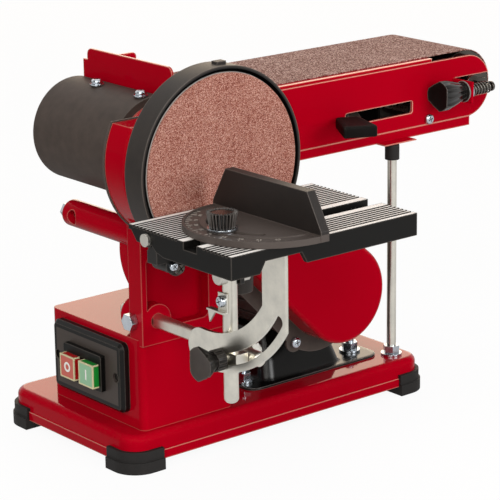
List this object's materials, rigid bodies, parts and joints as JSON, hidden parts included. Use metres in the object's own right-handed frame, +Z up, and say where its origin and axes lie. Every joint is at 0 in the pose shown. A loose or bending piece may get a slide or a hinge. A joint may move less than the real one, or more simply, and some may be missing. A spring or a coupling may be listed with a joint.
{
  "type": "belt and disc sander",
  "caption": "Bench sander with an upright sanding disc, a swing-up sanding belt arm, a tilting table with mitre gauge, a push-button switch and a belt drive under a cover.",
  "frame": {"origin": "on the floor under the middle of the sander's outline", "axes": "+X along the belt arm away from the disc, +Y from the disc's face to the motor's end, +Z up"},
  "size_m": [0.489, 0.387, 0.348],
  "materials": {
    "red_paint": "gloss",
    "charcoal_paint": "satin",
    "black_paint": "gloss",
    "zinc": "satin",
    "steel": "ground",
    "aluminium": "machined",
    "black_plastic": "matte",
    "grey_plastic": "matte",
    "red_plastic": "gloss",
    "green_plastic": "gloss",
    "rubber": "matte",
    "abrasive_cloth": "gritty",
    "table_metal": "black coat, ground rib tops"
  },
  "bodies": {
    "base": {"base_tray": "red_paint", "rubber_feet": "rubber", "pedestal": "red_paint", "clamp_bolts": "zinc", "cable_gland": "black_plastic", "switch_housing": "black_plastic", "switch_screws": "steel", "switch_bezel": "grey_plastic", "motor_housing": "black_paint", "motor_fan_cap": "black_plastic", "motor_mount": "black_paint", "mount_bolts": "zinc", "spindle_bearings": "steel", "disc_guard": "charcoal_paint", "pulley_cover": "red_paint", "cover_back_plate": "charcoal_paint", "cover_screws": "zinc", "prop_rod": "zinc", "prop_nuts": "zinc", "prop_cap": "rubber", "drive_belt": "rubber"},
    "spindle_rotor": {"spindle": "steel", "driven_pulley": "aluminium", "disc_back": "aluminium", "abrasive_disc": "abrasive_cloth", "drive_drum": "aluminium"},
    "motor_rotor": {"motor_shaft": "steel", "motor_pulley": "aluminium"},
    "belt_arm": {"arm_front_plate": "red_paint", "belt_platen": "charcoal_paint", "belt_lower_guard": "red_paint", "arm_screws": "zinc", "drum_hood": "charcoal_paint", "work_stop": "red_paint", "sanding_belt": "abrasive_cloth", "tension_spring": "zinc", "tracking_spring": "zinc"},
    "idler_carriage": {"idler_fork": "zinc", "idler_axle": "steel", "tracking_link": "zinc"},
    "idler": {"idler_roller": "aluminium"},
    "lever": {"tension_lever": "zinc", "lever_handle": "black_plastic"},
    "tracking": {"tracking_knob": "black_plastic", "tracking_screw": "steel"},
    "table_carrier": {"table_rod": "zinc", "table_post": "zinc", "table_yoke": "black_paint", "carrier_bolts": "zinc", "angle_pointer": "zinc"},
    "table_top": {"table": "table_metal", "quadrant": "zinc", "table_bolts": "steel"},
    "table_lock": {"table_lock_knob": "black_plastic", "table_lock_stud": "steel"},
    "mitre_slider": {"mitre_bar": "steel"},
    "mitre_gauge": {"mitre_head": "black_plastic"},
    "mitre_clamp": {"mitre_knob": "black_plastic"},
    "stop_push": {"stop_button": "red_plastic"},
    "start_push": {"start_button": "green_plastic"}
  },
  "joints": [
    {"name": "spindle_turn", "type": "hinge", "parent": "base", "child": "spindle_rotor", "pos_m": [-0.1465, -0.0015, 0.266], "axis": [0, 1, 0], "continuous": true},
    {"name": "motor_turn", "type": "hinge", "parent": "base", "child": "motor_rotor", "pos_m": [0.0155, 0.0085, 0.118], "axis": [0, 1, 0], "continuous": true},
    {"name": "arm_swing", "type": "hinge", "parent": "base", "child": "belt_arm", "pos_m": [-0.1465, 0.0385, 0.266], "axis": [0, -1, 0], "range_deg": [0, 90]},
    {"name": "idler_tension", "type": "slide", "parent": "belt_arm", "child": "idler_carriage", "axis": [-1, 0, 0], "range_m": [0, 0.003], "deforming": ["tension_spring", "tracking_spring"]},
    {"name": "idler_turn", "type": "hinge", "parent": "idler_carriage", "child": "idler", "pos_m": [0.2124, 0.0935, 0.266], "axis": [0, 1, 0], "continuous": true},
    {"name": "lever_turn", "type": "hinge", "parent": "belt_arm", "child": "lever", "pos_m": [0.0995, 0.0795, 0.257], "axis": [0, 0, 1], "range_deg": [0, 58]},
    {"name": "tracking_turn", "type": "hinge", "parent": "idler_carriage", "child": "tracking", "pos_m": [0.1835, 0.0205, 0.266], "axis": [1, 0, 0], "range_deg": [-180, 180]},
    {"name": "table_slide", "type": "slide", "parent": "base", "child": "table_carrier", "axis": [0, -1, 0], "range_m": [0, 0.035]},
    {"name": "table_tilt", "type": "hinge", "parent": "table_carrier", "child": "table_top", "pos_m": [-0.1465, -0.0765, 0.229], "axis": [1, 0, 0], "range_deg": [0, 45]},
    {"name": "lock_turn", "type": "hinge", "parent": "table_carrier", "child": "table_lock", "pos_m": [-0.1915, -0.0955, 0.1262], "axis": [1, 0, 0], "range_deg": [-180, 180]},
    {"name": "mitre_slide", "type": "slide", "parent": "table_top", "child": "mitre_slider", "axis": [1, 0, 0], "range_m": [-0.015, 0.078]},
    {"name": "mitre_swivel", "type": "hinge", "parent": "mitre_slider", "child": "mitre_gauge", "pos_m": [-0.1685, -0.1295, 0.237], "axis": [0, 0, 1], "range_deg": [-45, 45]},
    {"name": "mitre_knob_turn", "type": "hinge", "parent": "mitre_slider", "child": "mitre_clamp", "pos_m": [-0.2105, -0.1295, 0.246], "axis": [0, 0, 1], "range_deg": [-180, 180]},
    {"name": "stop_press", "type": "slide", "parent": "base", "child": "stop_push", "axis": [1, 0, 0], "range_m": [0, 0.003], "stiffness_N_per_m": 600},
    {"name": "start_press", "type": "slide", "parent": "base", "child": "start_push", "axis": [1, 0, 0], "range_m": [0, 0.003], "stiffness_N_per_m": 600}
  ],
  "couplings": [
    {"joint": "motor_turn", "follows": "spindle_turn", "ratio": 2},
    {"joint": "idler_turn", "follows": "spindle_turn", "ratio": 1},
    {"joint": "lever_turn", "follows": "idler_tension", "rad_per_m": 337.43}
  ]
}
